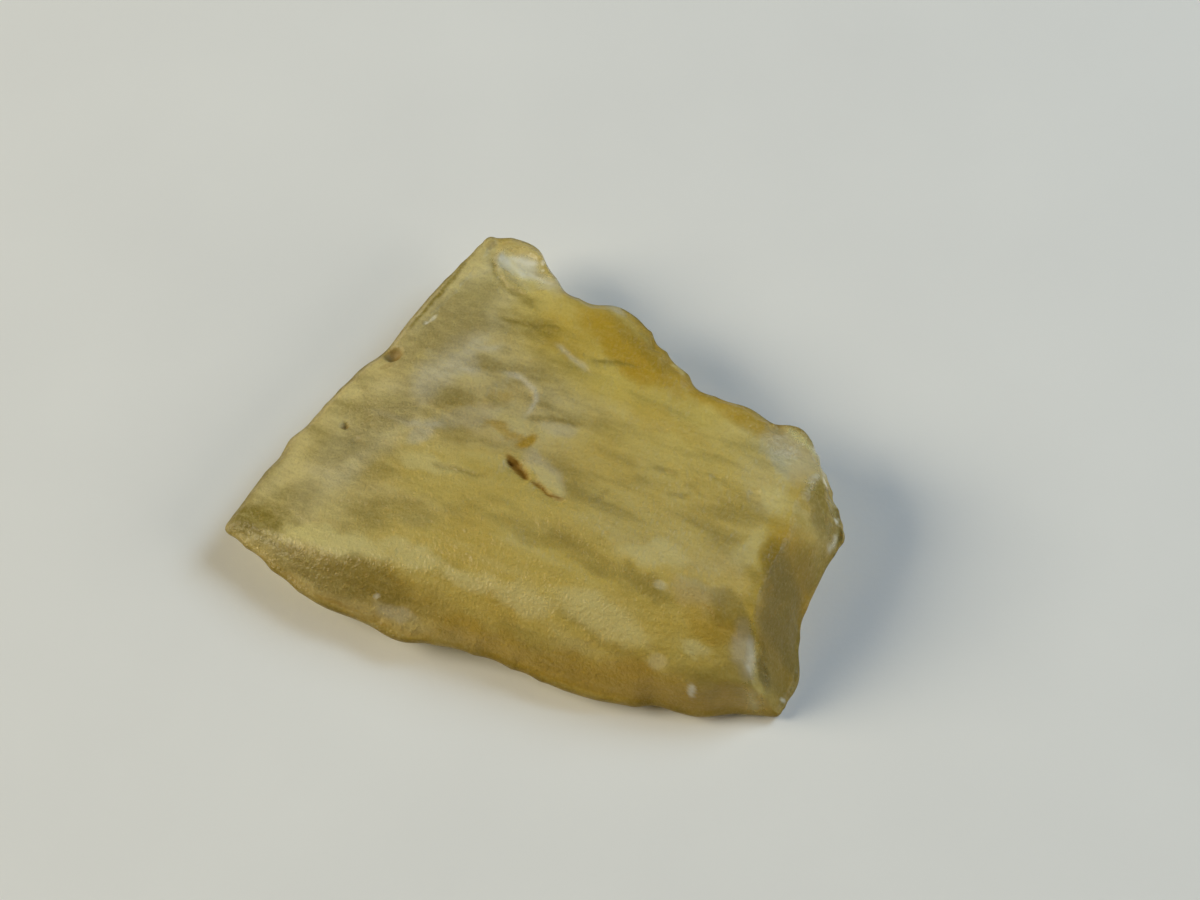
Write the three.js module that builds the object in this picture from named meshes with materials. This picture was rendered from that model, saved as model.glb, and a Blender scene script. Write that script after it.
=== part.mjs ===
// Raw Libyan desert glass: one wedge-shaped flake, blunted all over by blown sand.
// Millimetres, +Z up. The origin is the centre of the flake's box, on the plane it rests on.
// +X runs along the flake's length to its thick end, +Y across it to the apex.
import * as THREE from 'three';

// Mesh and rim
const CELLS = 42; // grid cells across the top face, and across the underside
const HUB = [2, -1]; // plan point that sees the whole outline
const RIM_BAND = 0.7; // height of the blunt band around the rim
const RIM_INSET = 0.22; // how far the faces start inside the rim's widest line
const RIM_BEND = 1.3; // width over which a face bends into the rim
const RING_CROWDING = 0.25; // how much closer the grid rings lie near the rim

// Blends where facets meet
const SOFT_BLEND = 2.4; // between the broad slopes of the top
const EDGE_BLEND = 1.1; // along the worn crests above the steep faces

// The outline, clockwise from the apex, a side at a time: [x, y, height of the rim]
const OUTLINE = [
  {
    cells: 44, // the scalloped back edge, from the apex to the shoulder
    points: [
      [-3.9, 20.4, 5.0],
      [-1.2, 20.0, 5.0],
      [0.3, 19.0, 5.0],
      [1.0, 17.4, 5.0],
      [1.8, 16.2, 5.0],
      [2.5, 15.0, 5.2],
      [4.6, 13.7, 5.5],
      [6.9, 13.1, 5.8],
      [9.1, 11.1, 6.0],
      [10.5, 8.8, 6.3],
      [12.0, 7.0, 6.5],
      [13.1, 5.1, 6.7],
      [15.1, 4.1, 6.7],
      [17.1, 3.4, 6.6],
      [19.0, 2.0, 6.5],
      [20.7, 1.9, 6.4],
      [21.4, 1.5, 6.3],
    ],
  },
  {
    cells: 11, // the chipped end, from the shoulder to the east point
    points: [
      [21.4, 1.5, 6.3],
      [22.3, -0.1, 6.1],
      [22.8, -1.7, 5.7],
      [23.4, -2.8, 5.4],
      [23.5, -3.7, 5.0],
      [24.1, -5.1, 4.6],
      [24.4, -6.9, 4.0],
    ],
  },
  {
    cells: 18, // the thick end, down to the front corner
    points: [
      [24.4, -6.9, 4.0],
      [23.1, -8.4, 2.9],
      [21.9, -10.7, 2.5],
      [21.0, -12.8, 1.8],
      [20.7, -15.0, 1.0],
      [20.6, -17.5, 0.8],
      [19.8, -19.0, 0.7],
      [19.0, -20.4, 0.7],
    ],
  },
  {
    cells: 56, // the nibbled front edge, from the front corner to the tip
    points: [
      [19.0, -20.4, 0.7],
      [15.7, -20.1, 0.8],
      [12.7, -20.4, 0.9],
      [9.5, -19.6, 1.1],
      [7.9, -19.7, 1.2],
      [4.4, -19.1, 1.5],
      [0.9, -18.0, 1.9],
      [-1.8, -16.8, 2.0],
      [-4.3, -15.8, 2.1],
      [-8.3, -14.8, 2.2],
      [-9.6, -14.8, 2.2],
      [-10.9, -14.4, 2.2],
      [-12.7, -13.3, 2.3],
      [-16.1, -11.9, 2.5],
      [-17.4, -11.2, 2.6],
      [-19.8, -9.4, 2.8],
      [-21.3, -8.0, 2.9],
      [-22.1, -7.3, 3.0],
      [-24.4, -5.4, 3.0],
    ],
  },
  {
    cells: 39, // the straight thin edge, from the tip to the apex
    points: [
      [-24.4, -5.4, 3.0],
      [-23.2, -3.5, 3.0],
      [-21.2, -0.3, 3.1],
      [-20.0, 1.2, 3.2],
      [-19.7, 2.2, 3.3],
      [-18.4, 3.3, 3.4],
      [-16.4, 5.9, 3.6],
      [-13.4, 9.1, 3.9],
      [-12.5, 9.6, 4.0],
      [-10.0, 13.1, 4.3],
      [-7.9, 15.8, 4.6],
      [-3.9, 20.4, 5.0],
    ],
  },
];

// The broad slopes of the top, each a plane through three points
const TOP_SLOPES = [
  [[-24.4, -5.4, 3.6], [-3.9, 20.4, 5.7], [-11.2, -9.8, 6.6]], // towards the thin edge
  [[21.4, 1.2, 7.7], [16.7, -13.9, 8.7], [0.0, 15.0, 6.7]], // towards the back edge
  [[-4.2, -12.5, 6.7], [7.8, -17.8, 5.9], [16.7, -13.9, 8.6]], // the shelf above the front
];

// The steep faces around the top
const TOP_FACES = [
  [[-24.4, -5.4, 3.3], [-18.3, -10.3, 3.1], [-18.0, -7.8, 5.1]], // front, at the tip
  [[-17.4, -11.2, 2.9], [-8.3, -14.8, 2.6], [-11.2, -9.8, 6.7]], // front, left
  [[-4.3, -16.1, 2.4], [9.5, -20.1, 1.4], [1.2, -15.5, 6.3]], // front, middle
  [[8.0, -20.1, 1.5], [16.8, -20.6, 1.1], [12.8, -19.0, 5.1]], // front, right
  [[7.8, -17.6, 6.0], [16.7, -19.8, 3.9], [16.7, -13.9, 8.8]], // shoulder above the front corner
  [[16.9, -14.0, 8.8], [24.0, -7.6, 3.5], [20.7, -16.5, 1.1]], // thick end
  [[19.3, -9.8, 8.6], [22.3, -3.8, 7.4], [24.4, -6.9, 4.4]], // east point
  [[6.3, 13.4, 6.2], [19.0, 1.7, 7.2], [10.6, 5.3, 8.5]], // bevel along the back edge
];

// The flat patch that the flake rests on: its three corners, clockwise, and the rim cells to the next one
const REST_CORNERS = [
  { at: [-3.0, 8.0], cells: 58 },
  { at: [14.0, -8.0], cells: 56 },
  { at: [-9.0, -11.0], cells: 54 },
];
const REST_BOW = 0.3; // how far the patch's edges are worn in between its corners
const REST_RING = 10 / 21; // share of the grid's rings that lie on the patch

// Hollows in the top: centre, half length, half width, direction in degrees, depth
const TOP_HOLLOWS = [
  { at: [-0.8, 16.5], half: [3.4, 2.0], turn: -35, depth: 0.4 }, // shell-shaped chip by the apex
  { at: [20.8, -1.6], half: [3.4, 2.2], turn: -70, depth: 0.5 }, // shell-shaped chip at the shoulder
  { at: [-1.8, 4.1], half: [2.1, 1.9], turn: 0, depth: 0.35 }, // ring scar
  { at: [-1.0, -2.7], half: [1.7, 0.9], turn: -45, depth: 0.6 }, // crescent pit
  { at: [1.2, -4.6], half: [1.9, 0.8], turn: -35, depth: 0.3 }, // step beside the pit
  { at: [-11.3, 9.2], half: [1.3, 1.1], turn: 0, depth: 0.6 }, // pit at the thin edge
  { at: [2.5, -9.3], half: [8.0, 2.0], turn: -27, depth: 0.2 }, // valley along the top
  { at: [-15.0, 2.5], half: [4.5, 2.4], turn: 50, depth: 0.3 }, // dish near the thin edge
  { at: [13.0, 2.7], half: [4.8, 2.4], turn: -42, depth: 0.3 }, // dish near the back edge
];

// Hollows in the underside, left by the flakes that broke away from it
const UNDER_HOLLOWS = [
  { at: [-13.0, 3.0], half: [8.0, 5.0], turn: 52, depth: 0.7 },
  { at: [3.0, 11.0], half: [6.0, 4.0], turn: -38, depth: 0.8 },
  { at: [16.0, 1.5], half: [5.0, 3.0], turn: -35, depth: 0.8 },
];

// Long low waves left by wind and sand: height, and waves per millimetre along x and y
const RIPPLES = [
  { height: 0.1, along: [0.22, 0.31], start: 0.6 },
  { height: 0.06, along: [0.52, -0.27], start: 2.1 },
  { height: 0.04, along: [0.35, 0.92], start: 4.0 },
];
const RIPPLE_FADE = 1.0; // height over which the underside's ripples fade to its flat patch

const FINISH = { color: 0x9b8748, roughness: 0.45, metalness: 0 };

/** Height of the plane through three points, as a function of x and y. */
function facet([a, b, c]) {
  const plane = new THREE.Plane().setFromCoplanarPoints(
    new THREE.Vector3(...a),
    new THREE.Vector3(...b),
    new THREE.Vector3(...c),
  );
  const { normal, constant } = plane;
  return (x, y) => -(normal.x * x + normal.y * y + constant) / normal.z;
}

/** The lower of two heights, rounded over a width where they cross. */
function softMin(a, b, width) {
  const overlap = Math.max(width - Math.abs(a - b), 0) / width;
  return Math.min(a, b) - (overlap * overlap * width) / 4;
}

/** Depth of a smooth oval hollow at a point. */
function hollowDepth({ at, half, turn, depth }, x, y) {
  const angle = THREE.MathUtils.degToRad(turn);
  const along = (x - at[0]) * Math.cos(angle) + (y - at[1]) * Math.sin(angle);
  const across = (y - at[1]) * Math.cos(angle) - (x - at[0]) * Math.sin(angle);
  const reach = (along / half[0]) ** 2 + (across / half[1]) ** 2;
  return reach < 1 ? depth * (1 - reach) ** 2 : 0;
}

/** Total depth of a list of hollows at a point. */
function hollowsDepth(hollows, x, y) {
  return hollows.reduce((sum, hollow) => sum + hollowDepth(hollow, x, y), 0);
}

/** Height of the wind ripples at a point. */
function ripple(x, y) {
  return RIPPLES.reduce(
    (sum, { height, along, start }) => sum + height * Math.sin(along[0] * x + along[1] * y + start),
    0,
  );
}

const topSlopes = TOP_SLOPES.map(facet);
const topFaces = TOP_FACES.map(facet);

/** Height of the top face, before it bends into the rim. */
function topHeight(x, y) {
  const broad = topSlopes.map((slope) => slope(x, y)).reduce((a, b) => softMin(a, b, SOFT_BLEND));
  const whole = topFaces.map((face) => face(x, y)).reduce((a, b) => softMin(a, b, EDGE_BLEND), broad);
  return whole + ripple(x, y) - hollowsDepth(TOP_HOLLOWS, x, y);
}

/** The rim's widest line, as evenly spaced points with every corner kept. */
function rimPoints() {
  return OUTLINE.flatMap(({ cells, points }) => {
    const corners = points.map((point) => new THREE.Vector3(...point));
    const side = new THREE.CatmullRomCurve3(corners, false, 'centripetal');
    return side.getSpacedPoints(cells).slice(0, cells);
  });
}

/** The resting patch's edge, with as many points as the rim. */
function restPoints() {
  return REST_CORNERS.flatMap(({ at, cells }, k) => {
    const start = new THREE.Vector3(...at, 0);
    const end = new THREE.Vector3(...REST_CORNERS[(k + 1) % REST_CORNERS.length].at, 0);
    const inward = new THREE.Vector3(end.y - start.y, start.x - end.x, 0).normalize();
    return Array.from({ length: cells }, (_, step) => {
      const along = step / cells;
      const worn = 4 * REST_BOW * along * (1 - along);
      return start.clone().lerp(end, along).addScaledVector(inward, worn);
    });
  });
}

const rim = rimPoints();
const rest = restPoints();

/** The point at a fraction of the way around a closed line of points. */
function lineAt(line, fraction) {
  const place = (fraction - Math.floor(fraction)) * line.length;
  const before = Math.floor(place);
  const after = (before + 1) % line.length;
  return line[before % line.length].clone().lerp(line[after], place - before);
}

/** Fraction of the way around a square ring of half width 1, for a point on it, clockwise from its top left. */
function ringFraction(a, b) {
  if (b >= Math.abs(a)) return (a + 1) / 8;
  if (a >= Math.abs(b)) return (3 - b) / 8;
  if (-b >= Math.abs(a)) return (5 - a) / 8;
  return (7 + b) / 8;
}

/** A point of the top, for a fraction of the way around the rim and a ring from 0 at the hub to 1. */
function topPoint(fraction, ring) {
  const edge = lineAt(rim, fraction);
  const span = Math.hypot(edge.x - HUB[0], edge.y - HUB[1]);
  const reach = ring * (1 + RING_CROWDING * (1 - ring)) * (1 - RIM_INSET / span);
  const x = HUB[0] + (edge.x - HUB[0]) * reach;
  const y = HUB[1] + (edge.y - HUB[1]) * reach;
  const inside = Math.min(((1 - reach) * span - RIM_INSET) / RIM_BEND, 1);
  const bend = inside * (2 - inside);
  const lip = edge.z + RIM_BAND / 2;
  return new THREE.Vector3(x, y, lip + (topHeight(x, y) - lip) * bend);
}

/** A point of the underside: on the resting patch, or on the slopes that rise from it to the rim. */
function underPoint(fraction, ring) {
  const hub = new THREE.Vector3(...HUB, 0);
  const foot = lineAt(rest, fraction);
  if (ring <= REST_RING) return hub.lerp(foot, ring / REST_RING);
  const edge = lineAt(rim, fraction);
  const span = Math.hypot(edge.x - HUB[0], edge.y - HUB[1]);
  const lip = edge.clone().lerp(hub, RIM_INSET / span).setZ(edge.z - RIM_BAND / 2);
  const out = (ring - REST_RING) / (1 - REST_RING);
  const point = foot.lerp(lip, out);
  const free = Math.min(point.z / RIPPLE_FADE, 1) * (1 - out ** 4);
  point.z += free * (ripple(point.x, point.y) + hollowsDepth(UNDER_HOLLOWS, point.x, point.y));
  return point;
}

/** A point of the top or the underside, for a place on the square grid that runs from -1 to 1. */
function skinPoint(a, b, upward) {
  const ring = Math.max(Math.abs(a), Math.abs(b));
  const fraction = ring > 0 ? ringFraction(a / ring, b / ring) : 0;
  return upward ? topPoint(fraction, ring) : underPoint(fraction, ring);
}

/** The flake as one closed body: top, underside and the rim band that joins them. */
function flakeGeometry() {
  const positions = [];
  const triangles = [];
  const row = CELLS + 1;
  const half = CELLS / 2;
  for (const upward of [true, false]) {
    for (let j = 0; j <= CELLS; j += 1) {
      for (let i = 0; i <= CELLS; i += 1) {
        const point = skinPoint(i / half - 1, j / half - 1, upward);
        positions.push(point.x, point.y, point.z);
      }
    }
  }
  const underStart = row * row;
  for (let j = 0; j < CELLS; j += 1) {
    for (let i = 0; i < CELLS; i += 1) {
      const near = j * row + i;
      const corners = [near, near + 1, near + row + 1, near + row];
      const falling = (i < half) === (j < half);
      const [p, q, r, s] = falling ? corners : [...corners.slice(1), corners[0]];
      triangles.push(p, q, r, p, r, s);
      const [t, u, v, w] = [p, q, r, s].map((corner) => corner + underStart);
      triangles.push(t, v, u, t, w, v);
    }
  }

  // Edge of the grid, clockwise from the top left as the rim is
  const edge = [];
  for (let k = 0; k < CELLS; k += 1) edge.push(CELLS * row + k);
  for (let k = 0; k < CELLS; k += 1) edge.push((CELLS - k) * row + CELLS);
  for (let k = 0; k < CELLS; k += 1) edge.push(CELLS - k);
  for (let k = 0; k < CELLS; k += 1) edge.push(k * row);
  const middleStart = 2 * underStart;
  rim.forEach((point) => positions.push(point.x, point.y, point.z));
  edge.forEach((corner, k) => {
    const next = (k + 1) % edge.length;
    const middle = middleStart + k;
    const middleNext = middleStart + next;
    triangles.push(corner, edge[next], middleNext, corner, middleNext, middle);
    const under = corner + underStart;
    const underNext = edge[next] + underStart;
    triangles.push(middle, middleNext, underNext, middle, underNext, under);
  });

  const geometry = new THREE.BufferGeometry();
  geometry.setAttribute('position', new THREE.Float32BufferAttribute(positions, 3));
  geometry.setIndex(triangles);
  geometry.computeVertexNormals();
  return geometry;
}

const flake = new THREE.Mesh(flakeGeometry(), new THREE.MeshStandardMaterial(FINISH));
flake.name = 'desert_glass';

const part = new THREE.Group();
part.add(flake);

export default part;
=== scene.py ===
"""Raw Libyan desert glass: the finished flake, its floor, its light and the photograph's view of it."""

from __future__ import annotations

import logging
import math
from dataclasses import dataclass, field
from enum import Enum

import bpy
import numpy as np
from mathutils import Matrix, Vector


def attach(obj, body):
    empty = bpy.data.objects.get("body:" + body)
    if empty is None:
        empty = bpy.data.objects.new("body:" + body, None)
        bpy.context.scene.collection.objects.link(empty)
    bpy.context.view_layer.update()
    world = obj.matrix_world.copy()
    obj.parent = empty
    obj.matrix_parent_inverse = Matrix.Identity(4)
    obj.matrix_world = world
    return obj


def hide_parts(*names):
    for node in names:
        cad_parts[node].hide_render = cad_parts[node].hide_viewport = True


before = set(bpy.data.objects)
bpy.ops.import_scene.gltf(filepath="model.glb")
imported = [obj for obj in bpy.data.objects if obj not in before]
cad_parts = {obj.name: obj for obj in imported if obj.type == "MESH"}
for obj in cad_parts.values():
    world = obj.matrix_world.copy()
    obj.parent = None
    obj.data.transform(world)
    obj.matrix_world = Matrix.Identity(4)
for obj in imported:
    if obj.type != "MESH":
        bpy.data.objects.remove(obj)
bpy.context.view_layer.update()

NODE = "desert_glass"
BODY = "root"
MM = 0.001
log = logging.getLogger("desert_glass")

Rgb = tuple[float, float, float]
Point = tuple[float, float]
Point3 = tuple[float, float, float]


class Lattice:
    """Smooth random relief over the plane, the same on every run."""

    SIDE = 256

    def __init__(self, seed: int) -> None:
        """Draws the lattice's heights.

        Args:
            seed: which relief to draw.
        """
        random = np.random.default_rng(seed)
        self.heights = random.uniform(-1.0, 1.0, (self.SIDE, self.SIDE))
        self.draws = random.uniform(0.0, 1.0, (self.SIDE, self.SIDE, 4))

    def relief(self, x: np.ndarray, y: np.ndarray, scale: float) -> np.ndarray:
        """One layer of relief.

        Args:
            x: places along X, in mm.
            y: places along Y, in mm.
            scale: width of a bump, in mm.

        Returns:
            Heights from -1 to 1.
        """
        across, up = x / scale, y / scale
        left, low = np.floor(across).astype(int), np.floor(up).astype(int)
        right_share, top_share = across - left, up - low
        right_share = right_share**3 * (right_share * (right_share * 6 - 15) + 10)
        top_share = top_share**3 * (top_share * (top_share * 6 - 15) + 10)
        side = self.SIDE
        near = self.heights[left % side, low % side]
        far = self.heights[(left + 1) % side, low % side]
        near_up = self.heights[left % side, (low + 1) % side]
        far_up = self.heights[(left + 1) % side, (low + 1) % side]
        below = near + (far - near) * right_share
        above = near_up + (far_up - near_up) * right_share
        return below + (above - below) * top_share

    def layers(self, x: np.ndarray, y: np.ndarray, scale: float, count: int) -> np.ndarray:
        """Relief on relief, each layer half as wide and half as high.

        Args:
            x: places along X, in mm.
            y: places along Y, in mm.
            scale: width of the widest bumps, in mm.
            count: number of layers.

        Returns:
            Heights from about -1 to 1.
        """
        total = np.zeros_like(x)
        for layer in range(count):
            shrink = 0.5**layer
            total += shrink * self.relief(x + 37.0 * layer, y - 19.0 * layer, scale * shrink)
        return total / 1.6

    def pits(self, x: np.ndarray, y: np.ndarray, spacing: float, share: float) -> np.ndarray:
        """Scattered round pits, at most one in each cell of a lattice.

        Args:
            x: places along X, in mm.
            y: places along Y, in mm.
            spacing: width of a cell, in mm.
            share: share of the cells that hold a pit.

        Returns:
            Depths from 0 to 1.
        """
        across, up = x / spacing, y / spacing
        left, low = np.floor(across).astype(int), np.floor(up).astype(int)
        depth = np.zeros_like(x)
        for step_x in (-1, 0, 1):
            for step_y in (-1, 0, 1):
                draw = self.draws[(left + step_x) % self.SIDE, (low + step_y) % self.SIDE]
                from_x = across - (left + step_x + draw[..., 0])
                from_y = up - (low + step_y + draw[..., 1])
                radius = 0.2 + 0.3 * draw[..., 2]
                inside = np.clip(1.0 - (from_x**2 + from_y**2) / radius**2, 0.0, 1.0)
                there = draw[..., 3] < share
                depth = np.maximum(depth, np.where(there, inside * radius * 2.0, 0.0))
        return depth


def soft_min(first: np.ndarray, second: np.ndarray, width: float) -> np.ndarray:
    """The lower of two heights, blended where they are less than a width apart, all in mm."""
    overlap = np.maximum(width - np.abs(first - second), 0.0) / width
    return np.minimum(first, second) - overlap**2 * width / 4.0


def smooth(value: np.ndarray) -> np.ndarray:
    """A value from 0 to 1 with its ends eased."""
    clipped = np.clip(value, 0.0, 1.0)
    return clipped * clipped * (3.0 - 2.0 * clipped)


@dataclass(frozen=True)
class Facet:
    """A flat facet, given by three points that it passes through, in mm."""

    a: Point3
    b: Point3
    c: Point3

    def height(self, x: np.ndarray, y: np.ndarray) -> np.ndarray:
        """Height of the facet's plane at places x and y, all in mm."""
        normal = (Vector(self.b) - Vector(self.a)).cross(Vector(self.c) - Vector(self.a))
        return self.a[2] - (normal.x * (x - self.a[0]) + normal.y * (y - self.a[1])) / normal.z


@dataclass(frozen=True)
class Hollow:
    """An oval hollow: its centre, half length and half width in mm, direction in degrees and depth."""

    at: Point
    half: Point
    turn: float
    depth: float
    steep: float = 2.0

    def reach(self, x: np.ndarray, y: np.ndarray) -> np.ndarray:
        """How far out a place is: 0 at the centre and 1 on the hollow's edge.

        Args:
            x: places along X, in mm.
            y: places along Y, in mm.

        Returns:
            Shares of the way from the centre to the edge, squared.
        """
        angle = math.radians(self.turn)
        from_x, from_y = x - self.at[0], y - self.at[1]
        along = from_x * math.cos(angle) + from_y * math.sin(angle)
        across = from_y * math.cos(angle) - from_x * math.sin(angle)
        return (along / self.half[0]) ** 2 + (across / self.half[1]) ** 2

    def sunk(self, x: np.ndarray, y: np.ndarray) -> np.ndarray:
        """Depth of the hollow at places x and y, all in mm."""
        return self.depth * np.clip(1.0 - self.reach(x, y), 0.0, 1.0) ** self.steep


class Mark(Enum):
    """The kinds of marking that the flake's surface carries: its own tones, stains and flecks, and with them
    painted glow, highlights and shade.
    """

    GLOW = "glow"
    DARK = "dark"
    AMBER = "amber"
    HONEY = "honey"
    PALE = "pale"
    RUST = "rust"
    CHALK_AND_GLINT = "chalk_and_glint"
    GLOSS = "gloss"


@dataclass(frozen=True)
class Patch:
    """A soft oval marking: its kind, centre, half length and half width in mm, direction and strength."""

    mark: Mark
    at: Point
    half: Point
    turn: float
    strength: float

    def strengths(self, x: np.ndarray, y: np.ndarray, crisp: bool) -> np.ndarray:
        """Strength of the marking, from 0 to 1, at places x and y in mm; crisp gives it a clear edge."""
        reach = Hollow(self.at, self.half, self.turn, 1.0).reach(x, y)
        return self.strength * (smooth(2.2 - 1.6 * np.sqrt(reach)) if crisp else smooth(1.15 - 0.55 * reach))


def patches_of(mark: Mark, *rows: tuple[Point, Point, float, float]) -> tuple[Patch, ...]:
    """Patches of one kind, each given by its centre, half sizes, direction and strength."""
    return tuple(Patch(mark, *row) for row in rows)


@dataclass(frozen=True)
class Line:
    """A line on the flake through points in mm."""

    points: tuple[Point, ...]

    def across(self, x: np.ndarray, y: np.ndarray) -> tuple[np.ndarray, np.ndarray]:
        """Where places lie beside the line.

        Args:
            x: places along X, in mm.
            y: places along Y, in mm.

        Returns:
            Distances in mm, above 0 on the line's right, and shares of the way along it from 0 to 1.
        """
        corners = np.array(self.points)
        lengths = np.linalg.norm(np.diff(corners, axis=0), axis=1)
        starts = np.concatenate([[0.0], np.cumsum(lengths)])
        nearest = np.full_like(x, 1e9)
        across, along = np.zeros_like(x), np.zeros_like(x)
        for k, length in enumerate(lengths):
            way = (corners[k + 1] - corners[k]) / length
            from_x, from_y = x - corners[k][0], y - corners[k][1]
            run = np.clip(from_x * way[0] + from_y * way[1], 0.0, length)
            distance = np.hypot(from_x - run * way[0], from_y - run * way[1])
            right = np.sign(from_x * way[1] - from_y * way[0])
            closer = distance < nearest
            nearest = np.where(closer, distance, nearest)
            across = np.where(closer, distance * right, across)
            along = np.where(closer, (starts[k] + run) / starts[-1], along)
        return across, along


@dataclass(frozen=True)
class Streak(Line):
    """A marking along a line: its kind, half width in mm and strength."""

    mark: Mark = Mark.DARK
    width: float = 0.2
    strength: float = 0.5

    def strengths(self, x: np.ndarray, y: np.ndarray) -> np.ndarray:
        """Strength of the marking.

        Args:
            x: places along X, in mm.
            y: places along Y, in mm.

        Returns:
            Strengths from 0 to 1.
        """
        across, along = self.across(x, y)
        ends = smooth(0.25 + 4.0 * along) * smooth(0.25 + 4.0 * (1.0 - along))
        return self.strength * ends * np.exp(-((across / self.width) ** 2))


def streaks_of(mark: Mark, *rows: tuple[tuple[Point, ...], float, float]) -> tuple[Streak, ...]:
    """Streaks of one kind, each given by its points, half width and strength."""
    return tuple(Streak(points, mark, width, strength) for points, width, strength in rows)


@dataclass(frozen=True)
class Scarp(Line):
    """A small step: the surface drops on the line's right and rises back over a width, all in mm."""

    depth: float = 0.2
    width: float = 0.6
    ragged: float = 0.0
    steep: float = 0.14

    def sunk(self, x: np.ndarray, y: np.ndarray, wander: np.ndarray) -> np.ndarray:
        """Depth of the step.

        Args:
            x: places along X, in mm.
            y: places along Y, in mm.
            wander: relief from -1 to 1 that makes the edge ragged.

        Returns:
            Depths in mm.
        """
        across, along = self.across(x, y)
        across = across + self.ragged * wander
        ends = smooth(5.0 * along) * smooth(5.0 * (1.0 - along))
        drop = smooth(0.5 + across / self.steep)
        rise = np.exp(-np.maximum(across, 0) / self.width)
        return self.depth * ends * drop * rise


@dataclass(frozen=True)
class Side:
    """One side of the outline: its corner points [x, y, height of the rim] in mm, how it is worn, and the
    painted shade along its rim.
    """

    points: tuple[Point3, ...]
    cells: int
    bite: float  # depth of the nibbles, in mm
    bite_length: float  # from one nibble to the next, in mm
    bend: float  # width over which the top bends into the rim, in mm
    amber: float  # how much painted amber shade the rim has
    dark: float  # how much painted dark shade the rim has
    shade_width: float  # how far this painted shade reaches in from the rim, in mm

    def spaced(self, fineness: int) -> np.ndarray:
        """Evenly spaced points on a smooth curve through the corner points, without the last one.

        Args:
            fineness: points for each cell of the side.

        Returns:
            Points in mm, one a row.
        """
        corners = np.array(self.points)
        corners = np.vstack([2 * corners[0] - corners[1], corners, 2 * corners[-1] - corners[-2]])
        gaps = np.linalg.norm(np.diff(corners, axis=0), axis=1) ** 0.5
        run = np.linspace(0.0, 1.0, 40, endpoint=False)[:, None]
        curve = []
        for k in range(1, len(corners) - 2):
            before, gap, after = gaps[k - 1 : k + 2]
            p, q, r, s = corners[k - 1 : k + 3]
            leave = gap * ((q - p) / before - (r - p) / (before + gap) + (r - q) / gap)
            arrive = gap * ((r - q) / gap - (s - q) / (gap + after) + (s - r) / after)
            cubic = 2 * q - 2 * r + leave + arrive
            square = 3 * r - 3 * q - 2 * leave - arrive
            curve.append(q + run * (leave + run * (square + run * cubic)))
        curve.append(corners[-2:-1])
        path = np.vstack(curve)
        length = np.concatenate([[0.0], np.cumsum(np.linalg.norm(np.diff(path, axis=0), axis=1))])
        wanted = np.linspace(0.0, length[-1], self.cells * fineness, endpoint=False)
        return np.stack([np.interp(wanted, length, path[:, axis]) for axis in range(3)], axis=1)


def along_line(line: np.ndarray, place: np.ndarray) -> np.ndarray:
    """Values at fractions of the way around a closed line of evenly spaced values.

    Args:
        line: the values, one a row.
        place: fractions of the way around.

    Returns:
        The values there, one a row.
    """
    spot = (place % 1.0) * len(line)
    before = np.floor(spot).astype(int) % len(line)
    share = (spot - np.floor(spot))[:, None]
    return line[before] * (1.0 - share) + line[(before + 1) % len(line)] * share


@dataclass(frozen=True)
class RestingPatch:
    """The flat patch that the flake rests on: its corners in mm, clockwise, and the cells between them."""

    corners: tuple[Point, ...] = ((-3.0, 8.0), (14.0, -8.0), (-9.0, -11.0))
    cells: tuple[int, ...] = (58, 56, 54)
    bow: float = 0.3  # how far its sides are worn in, in mm
    ring: float = 10 / 21  # which ring of the underside's grid lies on its edge

    def edge(self, fineness: int) -> np.ndarray:
        """The patch's edge, worn in between its corners.

        Args:
            fineness: points for each cell.

        Returns:
            Points in mm, one a row.
        """
        edges = []
        for k, cells in enumerate(self.cells):
            start = np.array(self.corners[k])
            end = np.array(self.corners[(k + 1) % len(self.corners)])
            inward = np.array([end[1] - start[1], start[0] - end[0]]) / np.linalg.norm(end - start)
            along = np.linspace(0.0, 1.0, cells * fineness, endpoint=False)[:, None]
            edges.append(start + (end - start) * along + 4 * self.bow * along * (1 - along) * inward)
        return np.vstack(edges)


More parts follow.
